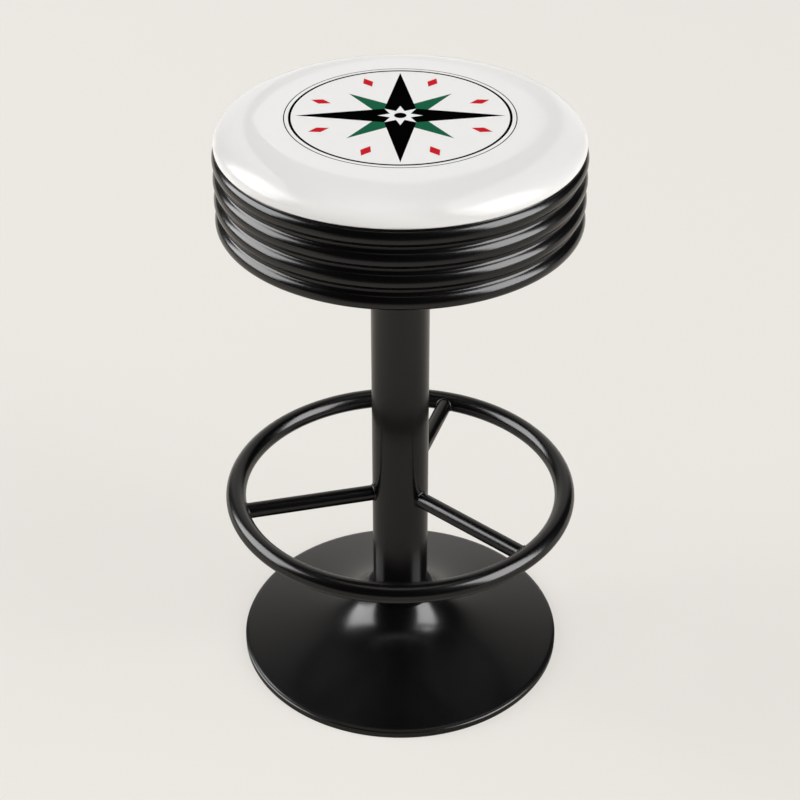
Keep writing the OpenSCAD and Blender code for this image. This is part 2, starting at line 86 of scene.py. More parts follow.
# Corners sharper than this stay sharp: on the new pieces, and on the CAD nodes
SHARP_ANGLE = math.radians(40)
SPLIT_ANGLE = math.radians(30)
MERGE_DISTANCE = 1e-6

# Half width of the print's soft edges, and of a lozenge's as a share of its size
INK_EDGE = 0.0002
STAR_EDGE = 0.00025
LOZENGE_EDGE = 0.04

# The studio, in metres
FLOOR_RADIUS = 8.0
LAMP_AIM = 0.4

# Smooth steps in what reflections see: from, to, first level, last level. Those named away
# and near go by the distance from the axis in metres. The others of the floor and the wall go
# by the cosine of a direction, from straight behind or, for the sides, from straight left and
# right. High and ceiling go by the sine of the height.
# The floor's steps paint light and shade into its reflections: painted shade close by and in
# front, less light in front than behind, and a painted glow at the sides
FLOOR_FRONT = (-0.85, -0.55, 1, 0)
FLOOR_FRONT_AWAY = (0.7, 2.6, 0, 0.87)
FLOOR_NEAR = (0.3, 1.1, 0.66, 1)
FLOOR_BACK = (-0.3, 0.9, 0.75, 0.88)
FLOOR_SIDE = (0.5, 0.9, 0, 1)
FLOOR_SIDE_AWAY = (0.6, 2.4, 0, 0.5)
WALL_BEHIND = (0.72, 0.96, 0.02, 1)
WALL_HIGH = (0.7, 0.9, 1, 0.45)
WALL_LEVEL = 1.25
CEILING = (0.9, 0.99, 0, 1)

LOW_BAND, HIGH_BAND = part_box("rib_band")
LOW_SEAT, HIGH_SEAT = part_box("seat_cover")
LOW_COLUMN, HIGH_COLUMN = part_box("column_tube")
LOW_RING, HIGH_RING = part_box("foot_ring")
LOW_COLLAR, HIGH_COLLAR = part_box("column_collar")
LOW_BASE, HIGH_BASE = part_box("base_cover")


def length(name, description, default):
    """A size in metres that a user may change."""
    return FloatProperty(name=name, description=description, default=default, precision=5,
                         unit="LENGTH")


def angle(name, description, degrees):
    return FloatProperty(name=name, description=description, default=math.radians(degrees),
                         subtype="ANGLE")


def colour(name, description, rgb):
    return FloatVectorProperty(name=name, description=description, default=rgb, size=3,
                               subtype="COLOR", min=0, max=1)


def number(name, description, default):
    return FloatProperty(name=name, description=description, default=default, precision=4)


class StoolShape(bpy.types.PropertyGroup):
    """Sizes that the frame's boxes don't give."""

    vinyl: length("Vinyl", "Thickness of the seat's vinyl", 0.0012)
    seat_roll: length("Seat roll", "Radius of the roll under the cushion's edge", 0.004)
    crown_power: number("Crown", "How squarely the crown turns down at its edge", 8.5)
    hem: length("Hem", "Width of the vinyl folded under the board", 0.028)
    band_gap: length("Band gap", "Gap between the cushion and the band", 0.0003)
    rib_count: IntProperty(name="Ribs", description="Number of ribs round the band", default=4)
    rib_radius: length("Rib", "Radius of a rib's arc", 0.0104)
    rib_depth: length("Rib depth", "How far a rib stands out from the band's wall", 0.007)
    rib_pitch: length("Rib pitch", "Distance from one rib to the next", 0.026)
    rib_drop: length("Rib drop", "Top of the band to the middle of its first rib", 0.0108)
    cove: length("Cove", "Radius of the hollow between a rib and the wall", 0.004)
    lip: length("Lip", "Radius of the band's rolled upper edge", 0.0015)
    strip: length("Strip", "Thickness of the band's steel", 0.0012)
    flange: length("Flange", "Width of the band's flange under the board", 0.015)
    ring_tube: length("Ring tube", "Radius of the foot ring's tube", 0.0127)
    spoke_tube: length("Spoke tube", "Radius of a spoke", 0.01)
    spoke_drop: length("Spoke drop", "How far a spoke lies under the ring's middle", 0.0012)
    weld: length("Weld", "Radius of the weld beads on the spokes", 0.0015)
    weld_ripples: IntProperty(name="Weld ripples", description="Ripples round a weld", default=34)
    column_wall: length("Column wall", "Wall of the column's tube", 0.002)
    bore_gap: length("Bore gap", "Gap between the column and what goes round it", 0.00005)
    bore_edge: length("Bore edge", "Radius of the collar's inner edge", 0.0004)
    collar_round: length("Collar round", "Radius of the collar's upper edge", 0.005)
    rim_round: length("Rim round", "Radius of the rounding down to the base's edge", 0.014)
    rim_end: angle("Rim end", "Slope of that rounding where the upright edge starts", 40)
    rim_edge: length("Rim edge", "Radius between the rounding and the upright edge", 0.0007)
    skirt: length("Skirt", "Floor to the top of the base's upright edge", 0.0075)
    sheet: length("Sheet", "Thickness of the base cover's steel", 0.0012)
    neck_slope: angle("Neck slope", "Slope of the base cover at its neck", 60)
    rim_slope: angle("Rim slope", "Slope of the base cover at its rim", 12.5)
    neck_pull: length("Neck pull", "Length of the bell curve's straight pull at the neck", 0.046)
    rim_pull: length("Rim pull", "Length of the bell curve's straight pull at the rim", 0.105)


class StoolFinish(bpy.types.PropertyGroup):
    """Colours and gloss."""

    vinyl: colour("Vinyl", "Colour of the seat", (0.805, 0.805, 0.807))
    vinyl_gloss: number("Vinyl roughness", "Roughness of the seat", 0.16)
    vinyl_ior: number("Vinyl IOR", "Refractive index of the seat's surface", 1.33)
    ink_gloss: number("Ink roughness", "Roughness of the printed rose", 0.5)
    ink_shine: number("Ink shine", "Strength of the printed rose's gloss", 0.0)
    ink: colour("Black ink", "Dark part of the printed rose", (0.001, 0.001, 0.001))
    ink_green: colour("Green ink", "Green part of the printed rose", (0.012, 0.11, 0.055))
    ink_red: colour("Red ink", "Red part of the printed rose", (0.55, 0.015, 0.025))
    rose_radius: length("Rose", "Radius of the printed rose", 0.128)
    enamel: colour("Enamel", "Colour of the enamelled steel", (0.0009, 0.0009, 0.001))
    enamel_gloss: number("Enamel roughness", "Roughness of the enamel", 0.2)
    base_gloss: number("Base roughness", "Roughness of the enamel on the base", 0.23)
    floor: colour("Floor", "Colour of the floor", (0.828, 0.803, 0.763))
    # Painted reflection: the floor's colour in reflections is warmer than the floor itself
    floor_painted_reflection: colour("Mirrored floor", "Its colour in reflections", (0.838, 0.782, 0.72))


class StoolStudio(bpy.types.PropertyGroup):
    """Camera and lamps."""

    lens: number("Lens", "Focal length in millimetres on a 36 mm frame", 81.1)
    camera_back: length("Camera back", "Distance of the camera in front of the column", 1.8738)
    camera_up: length("Camera up", "Height of the camera", 1.6247)
    camera_tilt: angle("Camera tilt", "How far the camera looks down", 33.695)
    camera_shift: number("Camera shift", "Sideways shift, as a share of the width", -0.00035)
    lamp_away: length("Lamps away", "Distance of the side lamps from the column", 8)
    lamp_level: number("Lamp level", "Brightness of the side lamps, where white is 1", 6.4)
    left_share: number("Left share", "Brightness of the left lamp as a share of the right", 0.91)
    lamp_spill: number("Lamp spill", "The same for the light that matt surfaces get", 4.8)
    fill: number("Fill", "Level of the light from all round", 0.375)
    fill_front: number("Front fill", "Share more of it in front, and less behind", 1.0)
    floor_glow: number("Floor glow", "Share of the floor that takes no shadow", 0.68)


def arc(centre_r, centre_z, radius, start, end, steps):
    """Points on a circle from one angle to another in degrees, centre + radius (cos a, sin a),
    in a number of steps."""
    a = np.radians(np.linspace(start, end, steps + 1))
    return np.stack([centre_r + radius * np.cos(a), centre_z + radius * np.sin(a)], 1)


def bezier(p, steps):
    """A cubic curve: each point is the sum of the four poles times Bernstein's weights."""
    t = np.linspace(0, 1, steps + 1)[:, None]
    s = 1 - t
    return s ** 3 * p[0] + 3 * s ** 2 * t * p[1] + 3 * s * t ** 2 * p[2] + t ** 3 * p[3]


def offset(line, distance):
    """A line moved sideways: every point goes the distance along the line's own normal."""
    way = np.gradient(line, axis=0)
    way /= np.linalg.norm(way, axis=1)[:, None]
    return line + distance * np.stack([way[:, 1], -way[:, 0]], 1)


def make_piece(name, points, faces, material, body):
    """A mesh object from points and faces, smooth but for its sharp corners."""
    mesh = bpy.data.meshes.new(name)
    mesh.from_pydata(points.tolist(), [], faces)
    mesh.validate()
    mesh.shade_smooth()
    mesh.set_sharp_from_angle(angle=SHARP_ANGLE)
    piece = bpy.data.objects.new(name, mesh)
    bpy.context.scene.collection.objects.link(piece)
    mesh.materials.append(material)
    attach(piece, body)
    return piece


def quads(rows, columns, looped):
    """Corner numbers of the quads of a grid whose rows each close on themselves. If looped,
    the last row also joins the first."""
    i = np.arange(rows if looped else rows - 1)[:, None]
    j = np.arange(columns)[None, :]
    i2 = (i + 1) % rows
    j2 = (j + 1) % columns
    return np.stack([i * columns + j, i * columns + j2, i2 * columns + j2, i2 * columns + j],
                    -1).reshape(-1, 4)


def volume(points, faces):
    """Six times the signed volume of quads: the sum of a . (b x c) over their triangles."""
    a, b, c, d = (points[faces[:, k]] for k in range(4))
    return np.einsum("ij,ij->", a, np.cross(b, c)) + np.einsum("ij,ij->", a, np.cross(c, d))


def skin(rings, tips=None):
    """Points and faces of a closed surface through rings of points, an array of ring, place
    on the ring and x, y, z. With tips, the first and last ring close in a fan to a tip.
    Without, the last ring joins the first. The faces are turned to give a positive volume."""
    rows, columns = rings.shape[:2]
    points = rings.reshape(-1, 3)
    faces = quads(rows, columns, tips is None)
    inward = volume(points, faces) < 0
    if inward:
        faces = faces[:, ::-1]
    faces = faces.tolist()
    if tips is not None:
        first, last = len(points), len(points) + 1
        points = np.vstack([points, tips])
        j = np.arange(columns)
        j2 = (j + 1) % columns
        end = (rows - 1) * columns
        fans = [np.stack([np.full(columns, first), j2, j], 1),
                np.stack([np.full(columns, last), end + j, end + j2], 1)]
        faces += np.vstack([f[:, ::-1] if inward else f for f in fans]).tolist()
    return points, faces


def circles(profile, around):
    """Each profile point (r, z) carried round the axis: (r cos a, r sin a, z)."""
    a = np.linspace(0, TURN, around, endpoint=False)[None, :]
    r, z = profile[:, :1], profile[:, 1:]
    return np.stack([r * np.cos(a), r * np.sin(a), z + 0 * a], -1)


def turned(profile, around=AROUND):
    """A profile turned round the axis. One that starts and ends on the axis closes in two
    poles, and any other is a closed outline."""
    on_axis = profile[0, 0] == 0 and profile[-1, 0] == 0
    if not on_axis:
        return skin(circles(profile, around))
    tips = [[0, 0, profile[0, 1]], [0, 0, profile[-1, 1]]]
    return skin(circles(profile[1:-1], around), tips)


class Signal:
    """A node's output, on which Python's operators add Math nodes."""

    def __init__(self, tree, socket):
        self.tree = tree
        self.socket = socket

    def maths(self, operation, *others, first=None):
        values = [self, *others] if first is None else [first, self]
        return self.tree.add("ShaderNodeMath", {"operation": operation}, dict(enumerate(values)))

    def __add__(self, other):
        return self.maths("ADD", other)

    def __sub__(self, other):
        return self.maths("SUBTRACT", other)

    def __rsub__(self, other):
        return self.maths("SUBTRACT", first=other)

    def __mul__(self, other):
        return self.maths("MULTIPLY", other)

    def __truediv__(self, other):
        return self.maths("DIVIDE", other)

    def __abs__(self):
        return self.maths("ABSOLUTE")

    __radd__ = __add__
    __rmul__ = __mul__


class Tree:
    """A node tree with one method that adds any node."""

    def __init__(self, owner):
        owner.use_nodes = True
        self.nodes = owner.node_tree.nodes
        self.links = owner.node_tree.links
        self.nodes.clear()

    def add(self, kind, settings=None, sockets=None, output=0):
        """A new node: its settings are set first, then a value or link for each socket."""
        node = self.nodes.new(kind)
        for key, value in (settings or {}).items():
            if key == "stops":
                self.set_stops(node.color_ramp, value)
            else:
                setattr(node, key, value)
        for key, value in (sockets or {}).items():
            if isinstance(value, Signal):
                self.links.new(value.socket, node.inputs[key])
            else:
                node.inputs[key].default_value = value
        return Signal(self, node.outputs[output]) if node.outputs else None

    @staticmethod
    def set_stops(ramp, stops):
        while len(ramp.elements) < len(stops):
            ramp.elements.new(1)
        for element, (place, value) in zip(ramp.elements, stops):
            element.position = place
            element.color = (*value, 1)

    def place(self, *scale):
        """Object coordinates, stretched by a scale for each axis."""
        coordinates = self.add("ShaderNodeTexCoord", output="Object")
        if not scale:
            return coordinates
        return self.add("ShaderNodeVectorMath", {"operation": "MULTIPLY"},
                        {0: coordinates, 1: scale})

    def split(self, vector):
        node = self.add("ShaderNodeSeparateXYZ", {}, {0: vector}).socket.node
        return [Signal(self, output) for output in node.outputs]

    def noise(self, scale, detail=3.0, roughness=0.5, where=None):
        return self.add("ShaderNodeTexNoise", {},
                        {"Vector": where or self.place(), "Scale": scale, "Detail": detail,
                         "Roughness": roughness})

    def blend(self, factor, first, second):
        """A colour between two others."""
        return self.add("ShaderNodeMix", {"data_type": "RGBA"},
                        {"Factor": factor, 6: first, 7: second}, output=2)

    def edge(self, depth, width):
        """0 outside a shape and 1 inside it, where depth is the distance in from its edge."""
        return self.ramp(depth, -width, width, 0, 1)

    def ramp(self, value, low, high, first, last):
        """A smooth step from one number to another as a value goes from low to high."""
        return self.add("ShaderNodeMapRange", {"interpolation_type": "SMOOTHSTEP"},
                        {"Value": value, "From Min": low, "From Max": high,
                         "To Min": first, "To Max": last})

    def bump(self, height, distance):
        return self.add("ShaderNodeBump", {},
                        {"Height": height, "Distance": distance, "Strength": 1.0})

    def principled(self, sockets):
        return self.add("ShaderNodeBsdfPrincipled", {}, sockets)

    def finish(self, surface, kind="ShaderNodeOutputMaterial"):
        self.add(kind, {}, {"Surface": surface})


def new_material(name):
    material = bpy.data.materials.new(name)
    return material, Tree(material)


def rgb(values):
    return (*values, 1.0)


def rose_layers(t, radius):
    """The printed compass rose as (mask, colour name) layers, with sizes as shares of its
    radius. The angle is folded into one point of the star, and inside its edge u + k v stays
    under the point's length."""
    x, y, _ = t.split(t.place())
    distance = (x * x + y * y).maths("SQRT")
    angle = x.maths("ARCTAN2", first=y)

    def folded(points, shift):
        """Distances along and across the nearest of a number of evenly spaced points."""
        share = (angle * (points / TURN) + (points + shift)).maths("FRACT")
        away = abs(share - 0.5) * (TURN / points)
        return distance * away.maths("COSINE"), distance * away.maths("SINE")

    def star(points, shift, reach, waist):
        u, v = folded(points, shift)
        half = math.pi / points
        k = (reach - waist * math.cos(half)) / (waist * math.sin(half))
        return t.edge(reach * radius - u - v * k, STAR_EDGE * math.hypot(1, k))

    def ring(at, half_width):
        return t.edge(half_width * radius - abs(distance - at * radius), INK_EDGE)

    def lozenges(count, shift, at, along, across):
        u, v = folded(count, shift)
        lengths = abs(u - at * radius) / (along * radius)
        return t.edge(1 - lengths - v / (across * radius), LOZENGE_EDGE)

    def dot(size):
        return t.edge(size * radius - distance, INK_EDGE)

    return [
        (star(points=4, shift=0, reach=0.66, waist=0.17), "ink_green"),
        (star(points=4, shift=0.5, reach=0.93, waist=0.2), "ink"),
        (lozenges(count=8, shift=0, at=0.77, along=0.1, across=0.05), "ink_red"),
        (ring(at=0.98, half_width=0.012), "ink"),
        (ring(at=1.03, half_width=0.005), "ink"),
        (star(points=8, shift=0.5, reach=0.2, waist=0.1), "vinyl"),
        (dot(size=0.055), "ink"),
    ]


def vinyl_material(look):
    """Smooth upholstery vinyl with a fine grain and the printed rose."""
    material, t = new_material("white_vinyl")
    soft = t.noise(9, 2)
    paint = t.blend(soft, rgb(look.vinyl), rgb([c * 0.99 for c in look.vinyl]))
    printed = None
    for mask, name in rose_layers(t, look.rose_radius):
        paint = t.blend(mask, paint, rgb(getattr(look, name)))
        printed = printed.maths("MAXIMUM", mask) if printed else mask
    grain = t.add("ShaderNodeTexVoronoi", {"feature": "SMOOTH_F1"},
                  {"Vector": t.place(), "Scale": 900.0, "Smoothness": 0.6})
    relief = t.bump(grain, 0.00001)
    shiny = t.principled({
        "Base Color": paint,
        "Roughness": look.vinyl_gloss + t.noise(40, 2) * 0.03,
        "IOR": look.vinyl_ior,
        "Normal": relief,
    })
    inked = t.principled({
        "Base Color": paint,
        "Roughness": look.ink_gloss,
        "Specular IOR Level": look.ink_shine,
        "Normal": relief,
    })
    t.finish(t.add("ShaderNodeMixShader", {}, {0: printed, 1: shiny, 2: inked}))
    return material


def enamel_material(look, name, gloss):
    """Black enamel, with the faint waves that sprayed enamel sets in."""
    material, t = new_material(name)
    cloud = t.noise(14, 3)
    waves = t.noise(260, 2)
    t.finish(t.principled({
        "Base Color": t.blend(cloud, rgb(look.enamel), rgb([c * 1.6 for c in look.enamel])),
        "Roughness": gloss - 0.02 + cloud * 0.04,
        "IOR": 1.5,
        "Normal": t.bump(waves, 0.000008),
    }))
    return material


def zinc_material():
    """Bright zinc plating: cool spangles over a satin base."""
    material, t = new_material("zinc_plate")
    spangle = t.add("ShaderNodeTexVoronoi", {}, {"Vector": t.place(), "Scale": 320.0}, output=1)
    tint = t.add("ShaderNodeSeparateColor", {}, {0: spangle})
    t.finish(t.principled({
        "Base Color": t.blend(tint, rgb((0.52, 0.54, 0.57)), rgb((0.66, 0.66, 0.64))),
        "Metallic": 1.0,
        "Roughness": 0.27 + t.noise(60) * 0.16,
        "Normal": t.bump(t.noise(500), 0.00002),
    }))
    return material


def ball_material():
    """Ground and polished bearing steel with faint wear tracks."""
    material, t = new_material("bearing_steel")
    t.finish(t.principled({
        "Base Color": rgb((0.68, 0.68, 0.7)),
        "Metallic": 1.0,
        "Roughness": 0.06 + t.noise(200) * 0.08,
    }))
    return material


def plywood_material():
    """Plywood coloured near black: long grain on the faces and thin plies round the edge."""
    material, t = new_material("plywood")
    grain = t.noise(14, 6, 0.6, t.place(0.8, 9.0, 30.0))
    pores = t.noise(60, 2, 0.5, t.place(1.0, 16.0, 16.0))
    _, _, z = t.split(t.place())
    plies = (z * (TURN / 0.0026)).maths("SINE") * 0.5 + 0.5
    tone = grain * 0.7 + plies * 0.3
    wood = t.add("ShaderNodeValToRGB", {"stops": [
        (0.3, (0.03, 0.027, 0.024)), (0.5, (0.05, 0.045, 0.04)), (0.7, (0.07, 0.062, 0.054))]},
        {0: tone})
    t.finish(t.principled({
        "Base Color": wood,
        "Roughness": 0.55 + pores * 0.25,
        "Normal": t.bump(pores, 0.0002),
    }))
    return material


def foam_material():
    """Cream upholstery foam with open cells, each darker towards its middle: painted shade in the
    cells' pits.
    """
    material, t = new_material("cream_foam")
    cells_and_painted_shade = t.add("ShaderNodeTexVoronoi", {}, {"Vector": t.place(), "Scale": 700.0})
    t.finish(t.principled({
        # Painted shade: each open cell is darker towards its middle, where its pit is deepest
        "Base Color": t.blend(cells_and_painted_shade, rgb((0.5, 0.44, 0.28)), rgb((0.84, 0.79, 0.6))),
        "Roughness": 0.95,
        "Normal": t.bump(cells_and_painted_shade, 0.0006),
    }))
    return material


def iron_material():
    """Raw sand casting, dark and pitted."""
    material, t = new_material("cast_iron")
    sand = t.noise(420, 6, 0.65)
    stain = t.noise(18, 3)
    t.finish(t.principled({
        "Base Color": t.blend(stain, rgb((0.035, 0.034, 0.034)), rgb((0.08, 0.072, 0.066))),
        "Metallic": 0.6,
        "Roughness": 0.55 + sand * 0.25,
        "Normal": t.bump(sand, 0.0006),
    }))
    return material


def rubber_material():
    """Moulded black rubber, matt and finely speckled."""
    material, t = new_material("black_rubber")
    speckle = t.noise(900, 2)
    t.finish(t.principled({
        "Base Color": t.blend(speckle, rgb((0.012, 0.012, 0.012)), rgb((0.03, 0.03, 0.029))),
        "Roughness": 0.7 + speckle * 0.2,
        "Normal": t.bump(speckle, 0.00008),
    }))
    return material


def cushion_outline(shape, inset):
    """The cushion above the band, moved inwards by an inset: a quarter roll out to the widest
    place, and a crown on which the radius is R sin(a) ** (2 / power) while the height is
    H cos(a)."""
    radius = HIGH_SEAT.x
    wall = cushion_wall(shape)
    low = HIGH_BAND.z + shape.band_gap
    step = [[wall - inset, low + inset]]
    roll = arc(radius - shape.seat_roll, low + shape.seat_roll, shape.seat_roll - inset,
               -90, 0, steps=10)
    a = np.linspace(math.pi / 2, 0, CROWN_POINTS)[1:, None]
    rise = HIGH_SEAT.z - low - shape.seat_roll - inset
    crown = np.hstack([(radius - inset) * np.sin(a) ** (2 / shape.crown_power),
                       low + shape.seat_roll + rise * np.cos(a)])
    crown[-1, 0] = 0
    return np.vstack([step, roll, crown])


def cushion_wall(shape):
    """Outer radius of the cushion inside the band."""
    return band_wall(shape) - shape.strip - shape.band_gap


def band_wall(shape):
    """Outer radius of the band's plain wall, under its ribs."""
    return HIGH_BAND.x - shape.rib_depth


def band_line(shape, inset, first, last, steps):
    """The band's face from its first rib down to its last, moved inwards by an inset. The
    arcs of ribs and hollows touch where a rib has turned by acos(1 - depth / (rib + cove)).
    The first rib starts and the last one ends at an angle of its own, in degrees."""
    reach = shape.rib_radius + shape.cove
    turn = math.degrees(math.acos(1 - shape.rib_depth / reach))
    drop = math.sqrt(reach ** 2 - (reach - shape.rib_depth) ** 2)
    rib_r = HIGH_BAND.x - shape.rib_radius
    cove_r = band_wall(shape) + shape.cove
    hollow = shape.cove + inset
    parts = []
    for i in range(shape.rib_count):
        z = HIGH_BAND.z - shape.rib_drop - i * shape.rib_pitch
        lowest = i == shape.rib_count - 1
        parts.append(arc(rib_r, z, shape.rib_radius - inset, turn if i else first,
                         -last if lowest else -turn, steps))
        if not lowest:
            below = z - shape.rib_pitch + drop
            parts.append(arc(cove_r, z - drop, hollow, 180 - turn, 180, steps // 3)[1:])
            parts.append(arc(cove_r, below, hollow, 180, 180 + turn, steps // 3)[:-1])
    return np.vstack(parts)


def dress(nodes, material):
    """Puts a material on CAD nodes that stay as they are, and smooths their round faces."""
    for name in nodes:
        node = frame["nodes"][name]
        node.data.materials.clear()
        node.data.materials.append(material)
        node.data.shade_smooth()
        weld = node.modifiers.new("weld", "WELD")
        weld.merge_threshold = MERGE_DISTANCE
        split = node.modifiers.new("split", "EDGE_SPLIT")
        split.split_angle = SPLIT_ANGLE


def enamel(name="black_enamel", gloss="enamel_gloss"):
    """The enamel of that name and gloss, made on first use."""
    look = bpy.context.scene.stool_finish
    return bpy.data.materials.get(name) or enamel_material(look, name, getattr(look, gloss))


class MakeCushion(bpy.types.Operator):
    """The vinyl cover over its foam block, on the plywood board"""

    bl_idname = "stool.make_cushion"
    bl_label = "Cushion"

    def execute(self, context):
        shape = context.scene.stool_shape
        wall = cushion_wall(shape)
        hem_z = LOW_SEAT.z
        outer = cushion_outline(shape, 0)
        inner = cushion_outline(shape, shape.vinyl)
        hem = np.array([[wall - shape.hem, hem_z], [wall - shape.vinyl, hem_z]])
        fold = arc(wall - shape.vinyl, hem_z + shape.vinyl, shape.vinyl, -90, 0, steps=5)
        inside = np.array([
            [wall - shape.vinyl, hem_z + shape.vinyl],
            [wall - shape.hem, hem_z + shape.vinyl],
        ])
        profile = np.vstack([inner[::-1], inside, hem[:1], fold, outer])
        points, faces = turned(profile)
        vinyl = vinyl_material(context.scene.stool_finish)
        cover = make_piece("vinyl_cover", points, faces, vinyl, "seat")
        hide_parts("seat_cover")

        board_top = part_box("seat_board")[1]
        block = cushion_outline(shape, shape.vinyl + shape.band_gap)
        profile = np.vstack([[[0, board_top.z], [board_top.x, board_top.z]], block])
        points, faces = turned(profile, AROUND_FOAM)
        foam = make_piece("foam_block", points, faces, foam_material(), "seat")
        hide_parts("seat_foam")
        dress(["seat_board"], plywood_material())
        return {"FINISHED"}


class MakeBand(bpy.types.Operator):
    """The steel band with rounded ribs, a curled upper edge and a flange"""

    bl_idname = "stool.make_band"
    bl_label = "Ribbed band"

    def execute(self, context):
        shape = context.scene.stool_shape
        strip = shape.strip
        inner = band_wall(shape) - strip
        rib = shape.rib_radius
        foot = math.acos(1 - shape.rib_depth / rib)
        lip_drop = shape.lip * (1 + math.sin(math.radians(LIP_END)))
        crease = math.asin((shape.rib_drop - lip_drop) / rib)
        first = math.acos((inner - HIGH_BAND.x + rib) / (rib - strip))
        last = math.asin((rib * math.sin(foot) - strip) / (rib - strip))
        outside = band_line(shape, 0, math.degrees(crease), math.degrees(foot), steps=28)
        inside = band_line(shape, strip, math.degrees(first), math.degrees(last), steps=9)
        edge = inner - shape.flange
        points, faces = turned(np.vstack([
            arc(inner + shape.lip, HIGH_BAND.z - shape.lip, shape.lip, 180, -LIP_END, steps=18),
            outside,
            [[edge, LOW_BAND.z], [edge, LOW_BAND.z + strip]],
            inside[::-1],
        ]))
        band = make_piece("ribbed_band", points, faces, enamel(), "seat")
        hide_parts("rib_band")
        return {"FINISHED"}


class MakeColumn(bpy.types.Operator):
    """The column tube, its top plate and weld, and the collar at its foot"""

    bl_idname = "stool.make_column"
    bl_label = "Column"

    def execute(self, context):
        shape = context.scene.stool_shape
        radius = HIGH_COLUMN.x
        wall = shape.column_wall
        profile = np.array([
            [radius, LOW_COLUMN.z], [radius, HIGH_COLUMN.z],
            [radius - wall, HIGH_COLUMN.z], [radius - wall, LOW_COLUMN.z],
        ])
        points, faces = turned(profile, AROUND_COLUMN)
        tube = make_piece("column", points, faces, enamel(), "stand")
        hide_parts("column_tube")

        bore = radius + shape.bore_gap
        outer = HIGH_COLLAR.x
        top = HIGH_COLLAR.z
        edge = shape.collar_round
        fine = shape.bore_edge
        profile = np.vstack([
            [[bore, LOW_COLLAR.z], [outer, LOW_COLLAR.z]],
            arc(outer - edge, top - edge, edge, 0, 90, steps=12),
            arc(bore + fine, top - fine, fine, 90, 180, steps=3),
        ])
        points, faces = turned(profile, AROUND_COLUMN)
        collar = make_piece("collar", points, faces, enamel(), "stand")
        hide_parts("column_collar")
        dress(["column_top_plate", "column_top_weld"], enamel())
        return {"FINISHED"}


class MakeFootRing(bpy.types.Operator):
    """The foot ring, its three spokes and their weld beads"""

    bl_idname = "stool.make_foot_ring"
    bl_label = "Foot ring"

    def execute(self, context):
        shape = context.scene.stool_shape
        middle_z = (LOW_RING.z + HIGH_RING.z) / 2
        middle_r = HIGH_RING.x - shape.ring_tube
        profile = arc(middle_r, middle_z, shape.ring_tube, 0, 360, ROUND_RING_TUBE)[:-1]
        points, faces = turned(profile, AROUND_RING)
        ring = make_piece("foot_ring_tube", points, faces, enamel(), "stand")
        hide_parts("foot_ring")

        welds = []
        for node in ("spoke_back", "spoke_left", "spoke_right"):
            heading = spoke_heading(node)
            rings, tips, near, far = spoke_rings(shape, heading, middle_r, middle_z)
            points, faces = skin(rings, tips)
            spoke = make_piece(node + "_tube", points, faces, enamel(), "stand")
            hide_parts(node)
            welds += [weld_rings(near, shape), weld_rings(far, shape)]
        parts = [skin(rings) for rings in welds]
        starts = np.cumsum([0] + [len(points) for points, _ in parts[:-1]])
        points = np.vstack([points for points, _ in parts])
        faces = [[corner + start for corner in face]
                 for start, (_, faces) in zip(starts.tolist(), parts) for face in faces]
        beads = make_piece("spoke_weld_beads", points, faces, enamel(), "stand")
        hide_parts("spoke_welds")
        return {"FINISHED"}


def spoke_heading(node):
    """Direction of a spoke, from the middle of its CAD node's points."""
    mesh = frame["nodes"][node].data
    co = np.empty(len(mesh.vertices) * 3)
    mesh.vertices.foreach_get("co", co)
    middle = co.reshape(-1, 3).mean(0)
    return math.atan2(middle[1], middle[0])


def spoke_rings(shape, heading, ring_r, ring_z):
    """Rings of a spoke from the column out to the foot ring, with its tips and its two end
    lines. At an offset y across the spoke and z up it, the column is reached at
    sqrt(C^2 - y^2), and the ring's tube at sqrt((R - sqrt(T^2 - z^2))^2 - y^2), where z is
    taken from the ring's middle, over the spoke's."""
    a = np.linspace(0, TURN, ROUND_SPOKE, endpoint=False)
    across = shape.spoke_tube * np.cos(a)
    up = shape.spoke_tube * np.sin(a) - shape.spoke_drop
    near = np.sqrt(HIGH_COLUMN.x ** 2 - across ** 2)
    far = np.sqrt((ring_r - np.sqrt(shape.ring_tube ** 2 - up ** 2)) ** 2 - across ** 2)
    share = np.linspace(0, 1, SPOKE_POINTS)[:, None]
    along = near * (1 - share) + far * share
    ways = np.array([math.cos(heading), math.sin(heading)])
    side = np.array([-ways[1], ways[0]])
    flat = along[..., None] * ways + across[:, None] * side
    rings = np.concatenate([flat, np.broadcast_to(ring_z + up, along.shape)[..., None]], -1)
    middle = ring_z - shape.spoke_drop
    tips = [[*(near.mean() * ways), middle], [*(far.mean() * ways), middle]]
    return rings, tips, rings[0], rings[-1]


def weld_rings(line, shape):
    """A rippled bead along a closed line: circles in the plane square to the line, whose
    radius goes from low to low + swell and back as low + swell |sin(n u / 2)|, where n is the
    number of ripples and u the angle round the line."""
    count = len(line)
    share = np.arange(count * WELD_STEPS) / WELD_STEPS
    closed = np.vstack([line, line[:1]])
    path = np.stack([np.interp(share, np.arange(count + 1), closed[:, k]) for k in range(3)], 1)
    way = np.roll(path, -1, 0) - np.roll(path, 1, 0)
    way /= np.linalg.norm(way, axis=1)[:, None]
    out = path - path.mean(0)
    out -= (out * way).sum(1)[:, None] * way
    out /= np.linalg.norm(out, axis=1)[:, None]
    side = np.cross(way, out)
    half = share / count * math.pi * shape.weld_ripples
    radius = shape.weld * (WELD_LOW + WELD_SWELL * np.abs(np.sin(half)))[:, None, None]
    b = np.linspace(0, TURN, ROUND_BEAD, endpoint=False)[None, :, None]
    return path[:, None] + radius * (np.cos(b) * out[:, None] + np.sin(b) * side[:, None])


